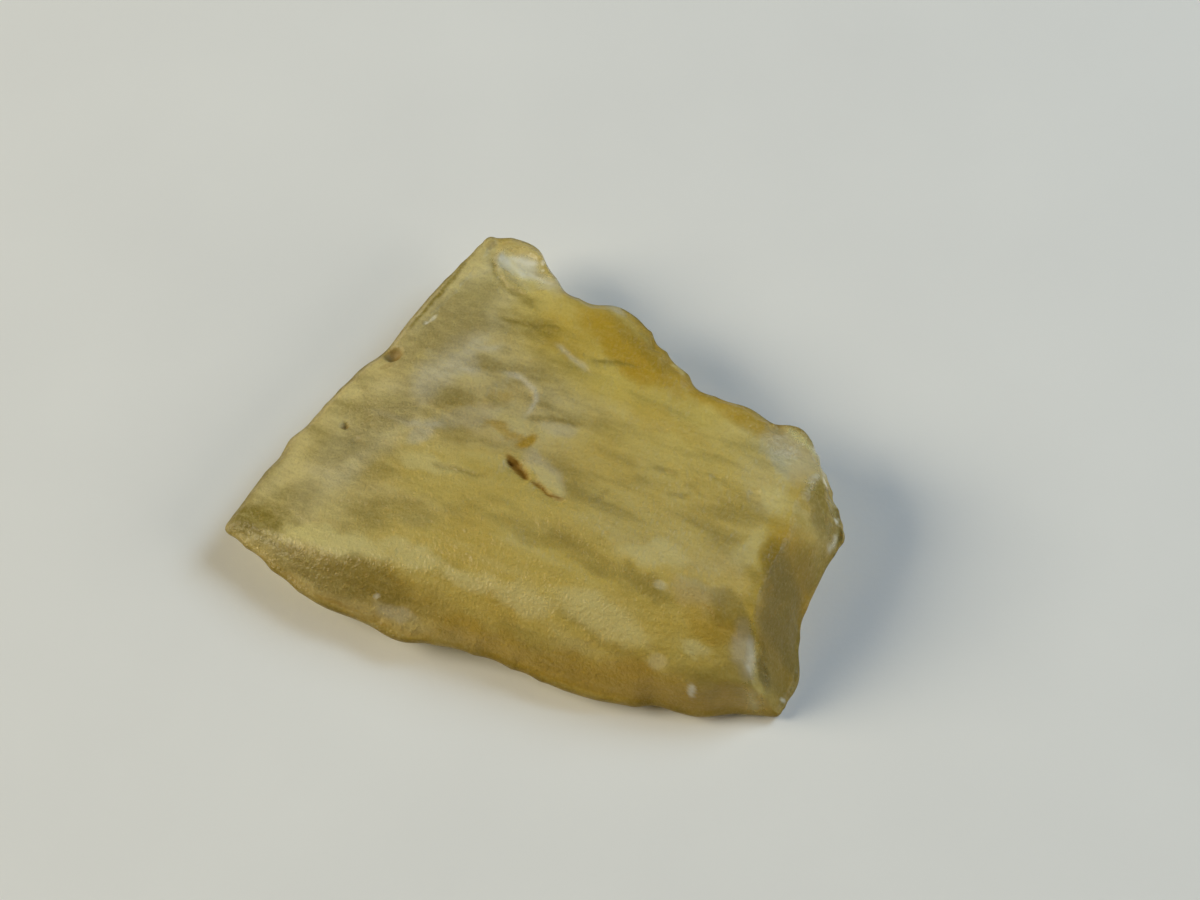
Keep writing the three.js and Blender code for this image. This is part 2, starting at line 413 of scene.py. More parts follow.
@dataclass
class Rim:
    """The flake's outline, clockwise from the apex."""

    hub: Point = (2.0, -1.0)  # the place that the grids spread from
    fineness: int = 6  # points for each cell of a side
    rounding: int = 4  # how many points each way round off its corners
    end_fade: float = 0.8  # length over which the nibbles fade at a side's ends, in mm
    sides: tuple[Side, ...] = (
        Side(  # the scalloped back edge, from the apex to the shoulder
            (
                (-3.9, 20.4, 5.0), (-1.2, 20.0, 5.0), (0.3, 19.0, 5.0), (1.0, 17.4, 5.0),
                (1.8, 16.2, 5.0), (2.5, 15.0, 5.2), (4.6, 13.7, 5.5), (6.9, 13.1, 5.8),
                (9.1, 11.1, 6.0), (10.5, 8.8, 6.3), (12.0, 7.0, 6.5), (13.1, 5.1, 6.7),
                (15.1, 4.1, 6.7), (17.1, 3.4, 6.6), (19.0, 2.0, 6.5), (20.7, 1.9, 6.4),
                (21.4, 1.5, 6.3),
            ),
            44, 0.28, 2.9, 1.0, 0.95, 0.8, 1.0,
        ),
        Side(  # the chipped end, from the shoulder to the east point
            (
                (21.4, 1.5, 6.3), (22.3, -0.1, 6.1), (22.8, -1.7, 5.7), (23.4, -2.8, 5.4),
                (23.5, -3.7, 5.0), (24.1, -5.1, 4.6), (24.4, -6.9, 4.0),
            ),
            11, 0.20, 1.5, 0.6, 0.3, 0.8, 0.5,
        ),
        Side(  # the thick end, down to the front corner
            (
                (24.4, -6.9, 4.0), (23.1, -8.4, 2.9), (21.9, -10.7, 2.5), (21.0, -12.8, 1.8),
                (20.7, -15.0, 1.0), (20.6, -17.5, 0.8), (19.8, -19.0, 0.7), (19.0, -20.4, 0.7),
            ),
            18, 0.18, 2.4, 1.0, 0.9, 0.9, 0.6,
        ),
        Side(  # the nibbled front edge, from the front corner to the tip
            (
                (19.0, -20.4, 0.7), (15.7, -20.1, 0.8), (12.7, -20.4, 0.9), (9.5, -19.6, 1.1),
                (7.9, -19.7, 1.2), (4.4, -19.1, 1.5), (0.9, -18.0, 1.9), (-1.8, -16.8, 2.0),
                (-4.3, -15.8, 2.1), (-8.3, -14.8, 2.2), (-9.6, -14.8, 2.2), (-10.9, -14.4, 2.2),
                (-12.7, -13.3, 2.3), (-16.1, -11.9, 2.5), (-17.4, -11.2, 2.6), (-19.8, -9.4, 2.8),
                (-21.3, -8.0, 2.9), (-22.1, -7.3, 3.0), (-24.4, -5.4, 3.0),
            ),
            56, 0.18, 3.1, 0.9, 0.95, 0.7, 0.5,
        ),
        Side(  # the straight thin edge, from the tip to the apex
            (
                (-24.4, -5.4, 3.0), (-23.2, -3.5, 3.0), (-21.2, -0.3, 3.1), (-20.0, 1.2, 3.2),
                (-19.7, 2.2, 3.3), (-18.4, 3.3, 3.4), (-16.4, 5.9, 3.6), (-13.4, 9.1, 3.9),
                (-12.5, 9.6, 4.0), (-10.0, 13.1, 4.3), (-7.9, 15.8, 4.6), (-3.9, 20.4, 5.0),
            ),
            39, 0.10, 2.2, 0.6, 0.3, 0.95, 0.35,
        ),
    )
    points: np.ndarray = field(init=False)
    wear_and_shade: np.ndarray = field(init=False)

    def __post_init__(self) -> None:
        """Works out the rim's widest line, and its wear and painted shade in columns: bite, bend, amber,
        dark, shade width.
        """
        sharp = np.vstack([side.spaced(self.fineness) for side in self.sides])
        shifts = range(-self.rounding, self.rounding + 1)
        self.points = np.mean([np.roll(sharp, shift, axis=0) for shift in shifts], axis=0)
        wander = Lattice(11)
        rows = []
        for side in self.sides:
            line = side.spaced(self.fineness)
            run = np.concatenate([[0.0], np.cumsum(np.linalg.norm(np.diff(line, axis=0), axis=1))])
            phase = run / side.bite_length + 0.9 * wander.relief(run, run * 0.0, side.bite_length * 2.3)
            size = np.clip(0.5 + 0.6 * wander.relief(run, run * 0.0 + 9.0, side.bite_length * 1.7), 0.05, 1.0)
            ends = smooth(run / self.end_fade) * smooth((run[-1] - run) / self.end_fade)
            bite = side.bite * size * np.abs(np.sin(math.pi * phase)) * ends
            traits = np.tile([side.bend, side.amber, side.dark, side.shade_width], (len(run), 1))
            rows.append(np.column_stack([bite, traits]))
        self.wear_and_shade = np.vstack(rows)
        shifts = range(-self.fineness, self.fineness + 1)
        self.wear_and_shade[:, 1:] = np.mean([np.roll(self.wear_and_shade[:, 1:], shift, axis=0) for shift in shifts], axis=0)


@dataclass
class Flake:
    """The flake of glass: a top made of worn facets and a hollowed underside, joined by a blunt rim."""

    rim: Rim = field(default_factory=Rim)
    patch: RestingPatch = RestingPatch()
    cells: int = 252  # grid cells along a side of the top
    rim_band: float = 0.7  # height of the blunt rim, in mm
    rim_inset: float = 0.22  # how far its upper and lower edge lie in from its widest line, in mm
    rim_angles: tuple[float, ...] = (45.0, 0.0, -45.0)  # of its rows, from its middle, in degrees
    rim_shown: tuple[float, ...] = (1.0, 1.0, 0.8)  # how much of the markings these rows show
    ring_crowding: float = 0.25  # how much closer the grid's rings lie at the rim
    soft_blend: float = 1.9  # height over which the slopes blend, in mm
    edge_blend: float = 0.75  # and the steep faces
    wave_height: float = 0.16  # these five: heights and depths of the relief, in mm
    wisp_height: float = 0.045
    dust_height: float = 0.018
    pit_depth: float = 0.07
    pore_depth: float = 0.03
    hollow_fray: float = 0.22  # how far the edges of hollows wander, in mm
    patch_fray: float = 0.8  # and those of patches
    streak_fray: float = 0.25  # and streaks
    bite_scar: float = 0.7  # depth of the scar behind a nibble, in nibbles
    edge_shade_reach: float = 0.4  # how far the darkest painted shade reaches in from the rim, in mm
    slopes: tuple[Facet, ...] = (
        Facet((-24.4, -5.4, 3.6), (-3.9, 20.4, 5.7), (-11.2, -9.8, 6.6)),  # towards the thin edge
        Facet((21.4, 1.2, 7.7), (16.7, -13.9, 8.7), (0.0, 15.0, 6.7)),  # towards the back edge
        Facet((-4.2, -12.5, 6.7), (7.8, -17.8, 5.9), (16.7, -13.9, 8.6)),  # shelf above the front
    )
    faces: tuple[Facet, ...] = (
        Facet((-24.4, -5.4, 3.3), (-18.3, -10.3, 3.1), (-18.0, -7.8, 5.1)),  # front, at the tip
        Facet((-17.4, -11.2, 2.9), (-8.3, -14.8, 2.6), (-11.2, -9.8, 6.7)),  # front, left
        Facet((-4.3, -16.1, 2.4), (9.5, -20.1, 1.4), (1.2, -15.5, 6.3)),  # front, middle
        Facet((8.0, -20.1, 1.5), (16.8, -20.6, 1.1), (12.8, -19.0, 5.1)),  # front, right
        Facet((7.8, -17.6, 6.0), (16.7, -19.8, 3.9), (16.7, -13.9, 8.8)),  # shoulder by the corner
        Facet((16.9, -14.0, 8.8), (24.0, -7.6, 3.5), (20.7, -16.5, 1.1)),  # thick end
        Facet((19.3, -9.8, 8.6), (22.3, -3.8, 7.4), (24.4, -6.9, 4.4)),  # east point
        Facet((6.3, 13.4, 6.2), (19.0, 1.7, 7.2), (10.6, 5.3, 8.5)),  # bevel along the back edge
    )
    hollows: tuple[Hollow, ...] = (
        Hollow((-0.6, 16.6), (2.9, 1.7), -40, 0.55, 0.8),  # shell-shaped chip by the apex
        Hollow((-3.2, 18.9), (1.5, 0.6), 50, 0.25, 1.0),  # chip at the apex
        Hollow((20.8, -1.6), (3.4, 2.2), -70, 0.45, 1.4),  # shell-shaped chip at the shoulder
        Hollow((19.1, 1.5), (0.9, 0.7), -30, 0.5, 0.9),  # notch in the back edge
        Hollow((22.5, -0.9), (1.0, 0.7), -60, 0.5, 0.8),  # chips along the jagged end
        Hollow((23.1, -3.1), (0.9, 0.6), -70, 0.6, 0.8),
        Hollow((23.5, -4.9), (1.0, 0.6), -60, 0.7, 0.8),
        Hollow((23.7, -6.6), (0.8, 0.6), -90, 0.5, 0.8),
        Hollow((22.6, -8.3), (1.1, 0.6), 45, 0.5, 0.8),
        Hollow((21.0, -6.4), (1.2, 0.8), -50, 0.25, 1.0),
        Hollow((20.2, -11.5), (3.4, 1.7), 62, 0.6, 1.0),  # shell-shaped chips down the thick end
        Hollow((19.9, -15.8), (2.4, 1.0), 80, 0.4, 1.0),
        Hollow((17.2, -18.0), (0.9, 2.2), 12, 0.35, 0.9),
        Hollow((17.2, -4.6), (0.5, 0.4), 0, 0.18, 1.0),  # dimples on the right
        Hollow((14.4, -3.4), (0.45, 0.25), -20, 0.15, 1.0),
        Hollow((11.6, -5.0), (0.5, 0.22), -35, 0.15, 1.0),
        Hollow((10.3, -2.8), (0.6, 0.25), -15, 0.15, 1.0),
        Hollow((-1.9, 4.6), (1.8, 1.7), 0, 0.22, 1.0),  # ring scar
        Hollow((-11.4, 9.3), (0.85, 0.75), 0, 0.75, 0.8),  # pit at the thin edge
        Hollow((-15.0, 3.0), (0.4, 0.33), 0, 0.4, 0.8),  # small dark pit
        Hollow((-14.1, 1.6), (0.6, 0.4), 20, 0.2, 1.2),  # dimple
        Hollow((-9.0, 1.2), (1.3, 0.7), 20, 0.12, 1.2),  # dimple
        Hollow((-11.9, -13.0), (0.5, 0.35), -20, 0.25, 1.0),  # dimples on the front face
        Hollow((-8.7, -14.3), (0.5, 0.35), -10, 0.25, 1.0),
        Hollow((9.4, -17.6), (1.1, 0.7), -10, 0.2, 1.0),
        Hollow((4.2, -16.9), (1.6, 0.8), -18, 0.2, 1.2),
        Hollow((2.5, -9.3), (8.0, 2.0), -27, 0.28),  # valley along the top
        Hollow((-15.0, 2.5), (4.5, 2.4), 50, 0.3),  # dish near the thin edge
        Hollow((13.0, 2.7), (4.8, 2.4), -42, 0.3),  # dish near the back edge
    )
    scarps: tuple[Scarp, ...] = (
        Scarp(((-2.1, -1.1), (-1.3, -1.6), (-0.6, -2.5), (-0.1, -3.4)), 0.75, 0.75, 0.3, 0.2),  # crescent pit
        Scarp(((0.0, -3.3), (0.9, -4.1), (1.5, -4.8), (2.7, -5.5)), 0.35, 0.7, 0.15, 0.12),  # step below it
        Scarp(  # ring scar
            ((-2.6, 6.7), (-1.2, 6.4), (-0.3, 5.4), (0.2, 4.0), (-0.6, 2.5)), 0.22, 0.8, 0.1, 0.15,
        ),
        Scarp(((-0.9, 2.4), (0.8, 2.3), (2.4, 2.0), (3.9, 1.6)), 0.1, 0.5, 0.1, 0.12),
        Scarp(((-8.2, -1.4), (-6.6, -1.8), (-3.5, -2.9)), 0.07, 0.6, 0.1, 0.12),
        Scarp(  # lip along the front edge
            ((-18.0, -10.4), (-16.0, -11.5), (-12.6, -12.9), (-11.0, -13.9)), 0.25, 0.4, 0.1, 0.15,
        ),
        Scarp(  # left of the chip by the apex
            ((-2.9, 19.0), (-3.3, 17.6), (-2.3, 15.2), (-0.2, 13.9)), 0.2, 1.3, 0.1, 0.15,
        ),
        Scarp(((-4.4, 17.7), (-7.2, 14.1), (-9.8, 10.9)), -0.12, 0.8, 0.15, 0.2),  # bevel by the apex
        Scarp(((1.6, 9.3), (3.2, 7.8), (4.6, 6.5), (8.4, 6.3)), 0.12, 1.2, 0.15, 0.15),
        Scarp(((-3.2, 12.4), (0.4, 10.9), (2.6, 10.4)), 0.1, 1.0, 0.2, 0.15),
        Scarp(((12.4, -13.5), (14.3, -15.5), (16.8, -16.8)), 0.12, 0.9, 0.2, 0.2),
        Scarp(((-23.2, -5.3), (-20.5, -6.6), (-18.4, -8.6)), 0.15, 0.9, 0.2, 0.2),  # wedge by the tip
    )
    under_hollows: tuple[Hollow, ...] = (
        Hollow((-13.0, 3.0), (8.0, 5.0), 52, 0.7),
        Hollow((3.0, 11.0), (6.0, 4.0), -38, 0.8),
        Hollow((16.0, 1.5), (5.0, 3.0), -35, 0.8),
    )
    patches: tuple[Patch, ...] = (
        *patches_of(  # milky zones and patches, with painted highlights on the chips by the apex, at the shoulder and at the thick end
            Mark.PALE,
            ((-1.4, 17.0), (2.1, 0.9), -42, 0.9),
            ((-4.6, 16.0), (2.4, 1.2), 50, 0.3),
            ((0.8, 15.0), (1.5, 0.7), -50, 0.45),
            ((-7.0, 7.9), (3.8, 1.8), 50, 0.5),
            ((-13.8, 1.2), (6.0, 2.2), 52, 0.2),
            ((-5.6, 13.0), (6.4, 2.8), 50, 0.22),
            ((12.6, -13.4), (2.0, 0.9), -30, 0.2),
            ((-8.7, 1.5), (1.5, 0.7), 20, 0.4),
            ((-4.5, 2.8), (2.6, 1.2), 20, 0.2),
            ((1.8, 1.3), (1.5, 0.8), -10, 0.3),
            ((20.0, -1.4), (2.6, 1.8), -60, 0.38),
            ((17.6, -4.2), (2.6, 1.6), -60, 0.14),
            ((15.9, -17.4), (0.9, 1.7), 12, 0.5),
            ((6.5, 12.8), (1.0, 0.5), -30, 0.5),
            ((-10.6, -13.2), (1.6, 0.5), -22, 0.35),
            ((1.0, -2.6), (2.4, 0.7), -50, 0.35),
        ),
        *patches_of(  # amber zones: painted shade where light runs long through the thick end and along the edges, and brown stains by the pits
            Mark.AMBER,
            ((20.0, -13.2), (2.3, 5.6), -6, 1.0),
            ((-12.5, -11.2), (6.0, 1.4), -22, 0.35),
            ((21.6, -4.4), (1.4, 2.6), 20, 0.5),
            ((14.5, 4.4), (8.5, 1.2), -38, 0.9),
            ((7.6, 8.6), (5.4, 1.6), -46, 0.95),
            ((3.0, 9.8), (3.2, 1.3), -40, 0.4),
            ((10.0, 1.6), (3.4, 1.0), -30, 0.3),
            ((19.0, 1.3), (1.0, 0.55), -20, 0.9),
            ((5.0, -18.4), (14.0, 1.1), -12, 0.7),
            ((-3.5, -15.2), (4.5, 0.8), -20, 0.6),
            ((13.0, -14.6), (3.2, 0.8), -45, 0.45),
            ((-2.9, 4.6), (1.0, 1.0), 0, 0.4),
            ((-0.9, 0.3), (0.7, 0.5), 70, 0.9),
            ((-2.2, 1.1), (1.2, 0.4), -30, 0.6),
        ),
        *patches_of(  # warm yellow zones
            Mark.HONEY,
            ((3.0, -13.0), (17.0, 5.5), -20, 0.9),
            ((7.5, 7.0), (10.0, 4.4), -40, 0.9),
            ((-2.5, -4.5), (10.0, 3.6), -22, 0.8),
            ((11.0, -3.5), (9.5, 6.5), -20, 0.72),
            ((19.0, -14.0), (3.4, 8.0), -10, 1.0),
        ),
        *patches_of(  # painted light: bright zones where light shines through
            Mark.GLOW,
            ((-20.6, -6.0), (1.4, 0.5), -20, 0.6),
            ((-16.0, -7.5), (4.6, 0.9), -21, 0.95),
            ((-9.5, -9.4), (2.8, 0.7), -20, 0.7),
            ((-8.0, -1.4), (2.8, 0.8), -22, 0.75),
            ((-4.7, -11.2), (2.2, 0.7), -24, 0.7),
            ((-0.8, -12.9), (2.4, 0.8), -24, 0.8),
            ((5.2, -14.7), (3.6, 1.1), -25, 0.75),
            ((9.2, -10.2), (2.6, 1.0), -10, 0.8),
            ((16.4, -9.9), (2.2, 1.1), 40, 0.55),
            ((12.4, -16.8), (0.9, 0.5), 0, 0.9),
            ((18.9, -5.6), (1.4, 0.8), -60, 0.5),
            ((1.5, -3.9), (1.5, 0.4), -52, 0.7),
        ),
        *patches_of(  # olive zones, with painted shade on the tip, the front facets and the thick end
            Mark.DARK,
            ((8.6, 9.2), (3.4, 0.8), -48, 0.3),
            ((-22.1, -5.4), (2.4, 1.3), -25, 0.9),
            ((-18.8, -3.6), (2.6, 1.5), 20, 0.4),
            ((-15.0, 1.2), (3.0, 1.4), 20, 0.45),
            ((-12.2, 3.7), (2.8, 1.7), 10, 0.55),
            ((-6.6, 4.9), (1.9, 0.8), -10, 0.22),
            ((-6.6, 12.0), (5.2, 2.2), 50, 0.56),
            ((-18.0, -9.2), (2.6, 0.8), -30, 0.65),
            ((-13.2, -10.7), (4.2, 1.2), -20, 0.62),
            ((-7.6, -12.8), (2.8, 1.0), -24, 0.2),
            ((-1.5, -15.0), (3.0, 0.5), -22, 0.2),
            ((-10.3, -5.8), (2.4, 1.0), -15, 0.35),
            ((21.9, -9.4), (2.2, 1.2), 45, 0.65),
            ((19.5, -13.8), (2.0, 4.0), 4, 0.95),
            ((17.2, -13.4), (1.0, 1.6), -20, 0.3),
            ((18.9, -17.6), (1.3, 2.4), 5, 0.75),
            ((15.2, -15.2), (2.4, 0.7), -45, 0.55),
            ((17.6, -18.5), (0.6, 1.2), 12, 0.95),
            ((2.1, -9.3), (5.4, 0.7), -27, 0.32),
            ((8.6, -12.6), (2.4, 0.7), -30, 0.5),
            ((14.6, -19.0), (2.6, 0.7), -5, 0.4),
            ((22.9, -5.6), (1.2, 2.3), 25, 0.75),
            ((-1.8, 14.4), (2.2, 0.5), -42, 0.45),
            ((-0.2, 11.4), (3.0, 0.6), -20, 0.4),
            ((23.6, -4.9), (0.6, 0.5), -60, 0.95),
        ),
        *patches_of(  # rusty pits
            Mark.RUST,
            ((-0.8, 0.2), (0.4, 0.28), 70, 0.5),
            ((-2.0, 1.0), (1.0, 0.26), -30, 0.2),
            ((-1.2, -2.1), (1.5, 0.4), -54, 0.95),
            ((-11.4, 9.3), (0.7, 0.6), 0, 0.7),
            ((-11.8, 8.2), (0.7, 0.22), 20, 0.5),
            ((-3.7, 19.3), (0.5, 0.35), 50, 0.5),
            ((-15.0, 3.0), (0.3, 0.24), 0, 0.7),
        ),
        *patches_of(  # white flecks, and painted glints on the chips
            Mark.CHALK_AND_GLINT,
            ((12.2, -19.4), (0.28, 0.24), 0, 0.75),
            ((9.6, -17.8), (0.7, 0.45), -10, 0.25),
            ((9.8, -12.6), (0.5, 0.35), -20, 0.28),
            ((-12.0, -11.8), (0.25, 0.15), 0, 0.5),
            ((19.3, -19.1), (0.18, 0.15), 0, 0.6),
            ((-8.2, 12.4), (0.4, 0.16), 50, 0.5),
            ((-8.7, 12.0), (0.16, 0.14), 0, 0.6),
            ((0.6, 17.3), (0.15, 0.25), 0, 0.6),
            ((0.6, 16.6), (0.14, 0.12), 0, 0.5),
            ((22.7, -3.2), (0.2, 0.3), 0, 0.6),
            ((23.6, -5.7), (0.16, 0.22), 0, 0.7),
        ),
        *patches_of(  # chips that are still glossy
            Mark.GLOSS,
            ((-1.0, 16.6), (3.2, 1.9), -40, 1.0),
            ((20.8, -1.6), (3.2, 2.0), -70, 0.7),
            ((23.4, -4.8), (4.0, 1.3), -68, 1.0),
            ((16.6, -18.0), (1.3, 2.4), 10, 0.8),
        ),
    )
    streaks: tuple[Streak, ...] = (
        *streaks_of(  # olive flow lines, and painted shadow along the steps and edges
            Mark.DARK,
            (((-5.0, 18.6), (-7.4, 15.2), (-10.4, 11.2)), 0.24, 0.95),
            (((-3.7, 18.2), (-3.2, 16.2), (-1.8, 14.4), (-0.2, 13.5)), 0.25, 0.7),
            (((-3.6, 5.3), (-3.0, 3.9), (-1.7, 3.3)), 0.35, 0.35),
            (((-0.6, 2.4), (0.8, 2.3), (3.9, 1.5)), 0.26, 0.6),
            (((-8.2, -1.4), (-6.6, -1.8), (-3.5, -2.9)), 0.22, 0.45),
            (((-3.2, 12.4), (0.4, 10.9), (2.4, 10.6)), 0.28, 0.7),
            (((4.4, 7.4), (6.2, 7.3), (8.4, 7.0)), 0.24, 0.65),
            (((-22.6, -5.9), (-19.5, -7.6), (-18.0, -9.0)), 0.35, 0.7),
            (((9.2, -2.4), (10.2, -2.6), (11.3, -3.1)), 0.2, 0.35),
            (((13.4, -3.0), (14.3, -3.3), (15.2, -3.8)), 0.2, 0.3),
            (((11.7, -4.0), (12.7, -4.5), (13.4, -5.1)), 0.2, 0.3),
            (((10.4, -5.1), (11.4, -5.1), (12.4, -4.9)), 0.24, 0.3),
            (((4.2, -5.7), (5.2, -5.0), (6.2, -4.3)), 0.22, 0.35),
            (((-23.9, -4.8), (-21.0, -0.4), (-19.0, 2.4)), 0.6, 0.7),
        ),
        *streaks_of(  # painted highlights along edges and chips
            Mark.GLOW,
            (((-2.3, 18.4), (-1.3, 16.2), (0.9, 14.9)), 0.3, 0.5),
            (((-0.5, -2.0), (0.7, -2.5), (1.7, -3.5), (2.5, -5.0)), 0.3, 0.8),
            (((-22.6, -5.2), (-18.2, -7.1), (-13.0, -8.9), (-9.0, -10.0)), 0.3, 0.8),
            (((16.7, -19.6), (17.4, -20.1)), 0.2, 0.7),
            (((20.2, 1.2), (21.4, 0.4), (22.2, -1.0)), 0.22, 0.7),
            (((11.0, 7.4), (12.0, 6.3)), 0.22, 0.8),
        ),
        *streaks_of(  # milky lines, and a painted highlight on the ring scar's rim
            Mark.PALE,
            (((-2.5, 6.8), (-1.2, 6.4), (-0.3, 5.4), (0.3, 3.9), (-0.6, 2.4)), 0.2, 0.75),
            (((1.6, 9.2), (3.2, 7.7), (4.4, 6.5)), 0.24, 0.45),
            (((-9.2, 9.6), (-6.0, 7.3), (-4.0, 6.8)), 0.4, 0.6),
            (((-7.4, 10.4), (-4.6, 9.2), (-2.2, 9.0)), 0.4, 0.5),
            (((-13.6, 4.5), (-10.0, 2.6), (-6.6, 2.0)), 0.4, 0.5),
        ),
        *streaks_of(  # rusty cracks
            Mark.RUST,
            (((-0.4, -3.1), (0.4, -3.7), (0.9, -4.3), (1.4, -4.7), (2.6, -5.4)), 0.22, 0.95),
            (((-17.3, -10.8), (-16.0, -11.5), (-12.6, -12.9), (-11.0, -13.9)), 0.16, 0.45),
        ),
        *streaks_of(  # painted glints: highlight streaks on the chips
            Mark.CHALK_AND_GLINT,
            (((-2.8, 18.0), (-1.4, 16.9), (-0.6, 15.9)), 0.25, 0.5),
            (((-2.4, 18.2), (-1.0, 17.6), (0.3, 17.3)), 0.25, 0.55),
            (((-0.6, 16.5), (0.6, 15.7), (1.6, 14.9)), 0.2, 0.35),
            (((16.4, -16.2), (16.6, -17.4), (16.5, -18.9)), 0.24, 0.35),
            (((22.0, 0.2), (22.6, -0.9), (22.9, -2.3)), 0.24, 0.6),
            (((23.6, -6.5), (23.4, -7.3), (22.9, -7.8)), 0.14, 0.6),
        ),
    )
    broad: Lattice = field(default_factory=lambda: Lattice(3))
    fine: Lattice = field(default_factory=lambda: Lattice(5))

    def top(self, x: np.ndarray, y: np.ndarray) -> np.ndarray:
        """Height of the top, before it bends into the rim.

        Args:
            x: places along X, in mm.
            y: places along Y, in mm.

        Returns:
            Heights in mm.
        """
        height = self.slopes[0].height(x, y)
        for slope in self.slopes[1:]:
            height = soft_min(height, slope.height(x, y), self.soft_blend)
        for face in self.faces:
            height = soft_min(height, face.height(x, y), self.edge_blend)
        bent_x = x + self.hollow_fray * self.fine.layers(x, y + 80.0, 1.3, 2)
        bent_y = y + self.hollow_fray * self.fine.layers(x + 80.0, y, 1.3, 2)
        for hollow in self.hollows:
            height = height - hollow.sunk(bent_x, bent_y)
        wander = self.fine.layers(y, x, 0.9, 2)
        for scarp in self.scarps:
            height = height - scarp.sunk(x, y, wander)
        return height + self.waves(x, y) + self.grain(x, y)

    def waves(self, x: np.ndarray, y: np.ndarray) -> np.ndarray:
        """The long low waves of every face, in mm."""
        return self.wave_height * self.broad.layers(x, y, 8.0, 3)

    def grain(self, x: np.ndarray, y: np.ndarray) -> np.ndarray:
        """The fine relief that blown sand leaves on every face.

        Args:
            x: places along X, in mm.
            y: places along Y, in mm.

        Returns:
            Heights in mm, mostly below 0.
        """
        rough = 0.55 + 0.45 * self.broad.relief(x + 60.0, y, 5.0)
        along, across = 0.9 * x - 0.42 * y, 0.42 * x + 0.9 * y
        wisps = self.fine.layers(along / 2.6, across, 1.5, 3)
        fine = self.wisp_height * wisps + self.dust_height * self.fine.layers(x, y, 0.9, 2)
        pits = self.pit_depth * rough * self.fine.pits(x, y, 1.5, 0.35)
        return fine - pits - self.pore_depth * self.fine.pits(y, x, 0.7, 0.5)

    def grid(self, cells: int) -> tuple[np.ndarray, np.ndarray]:
        """Places on a square grid, as rings around its middle.

        Args:
            cells: grid cells along a side.

        Returns:
            Fractions of the way around, clockwise from the top left, and rings from 0 in the middle to 1.
        """
        ticks = np.linspace(-1.0, 1.0, cells + 1)
        across, up = (grid.ravel() for grid in np.meshgrid(ticks, ticks))
        ring = np.maximum(np.abs(across), np.abs(up))
        a, b = across / np.maximum(ring, 1e-9), up / np.maximum(ring, 1e-9)
        sides = [b >= np.abs(a), a >= np.abs(b), -b >= np.abs(a)]
        return np.select(sides, [(a + 1) / 8, (3 - b) / 8, (5 - a) / 8], (7 + b) / 8), ring

    def top_skin(self, cells: int) -> np.ndarray:
        """The points of the top, on a square grid drawn out to the rim.

        Args:
            cells: grid cells along a side.

        Returns:
            Points in mm, one a row, row after row of the grid.
        """
        place, ring = self.grid(cells)
        edge = along_line(self.rim.points, place)
        bite, bend = along_line(self.rim.wear_and_shade[:, :2], place).T
        away = edge[:, :2] - self.rim.hub
        span = np.linalg.norm(away, axis=1)
        reach = ring * (1 + self.ring_crowding * (1 - ring)) * (1 - (self.rim_inset + bite) / span)
        x, y = (self.rim.hub + away * reach[:, None]).T
        depth = (1 - reach) * span - self.rim_inset - bite
        inside = np.clip(depth / bend, 0.0, 1.0)
        lip = edge[:, 2] + self.rim_band / 2
        scar = 0.2 + 2.0 * bite
        flaked = self.bite_scar * bite * np.exp(-((depth / scar) ** 2)) * smooth(depth / 0.3)
        height = lip + (self.top(x, y) - lip) * inside * (2 - inside) - flaked
        return np.stack([x, y, height], axis=1)

    def under_skin(self, cells: int) -> np.ndarray:
        """The points of the underside: flat where the flake rests, and rising from there to the rim.

        Args:
            cells: grid cells along a side.

        Returns:
            Points in mm, one a row, row after row of the grid.
        """
        place, ring = self.grid(cells)
        foot = along_line(self.patch.edge(self.rim.fineness), place)
        edge = along_line(self.rim.points, place)
        bite = along_line(self.rim.wear_and_shade[:, :1], place)[:, 0]
        away = edge[:, :2] - self.rim.hub
        lip = self.rim.hub + away * (1 - (self.rim_inset + bite) / np.linalg.norm(away, axis=1))[:, None]
        out = np.clip((ring - self.patch.ring) / (1 - self.patch.ring), 0.0, 1.0)
        inner = np.clip(ring / self.patch.ring, 0.0, 1.0)[:, None]
        flat = self.rim.hub + (foot - self.rim.hub) * inner + (lip - foot) * out[:, None]
        x, y = flat.T
        height = (edge[:, 2] - self.rim_band / 2) * out
        free = np.clip(height, 0.0, 1.0) * (1 - out**4)
        hollow = sum(hollow.sunk(x, y) for hollow in self.under_hollows)
        height = height + free * (hollow + self.waves(x, y) - self.grain(x, y))
        return np.stack([x, y, np.maximum(height, 0.0)], axis=1)

    def band(self) -> list[np.ndarray]:
        """The rows of the blunt rim between the top and the underside, highest first.

        Returns:
            Rows of points in mm, each as long as the rim.
        """
        edge, bite = self.rim.points, self.rim.wear_and_shade[:, 0]
        hub = np.array(self.rim.hub)
        away = edge[:, :2] - hub
        span = np.linalg.norm(away, axis=1)
        rows = []
        for angle in self.rim_angles:
            inset = self.rim_inset * (1 - math.cos(math.radians(angle))) + bite
            flat = hub + away * (1 - inset / span)[:, None]
            height = edge[:, 2] + self.rim_band / 2 * math.sin(math.radians(angle))
            rows.append(np.column_stack([flat, height]))
        return rows

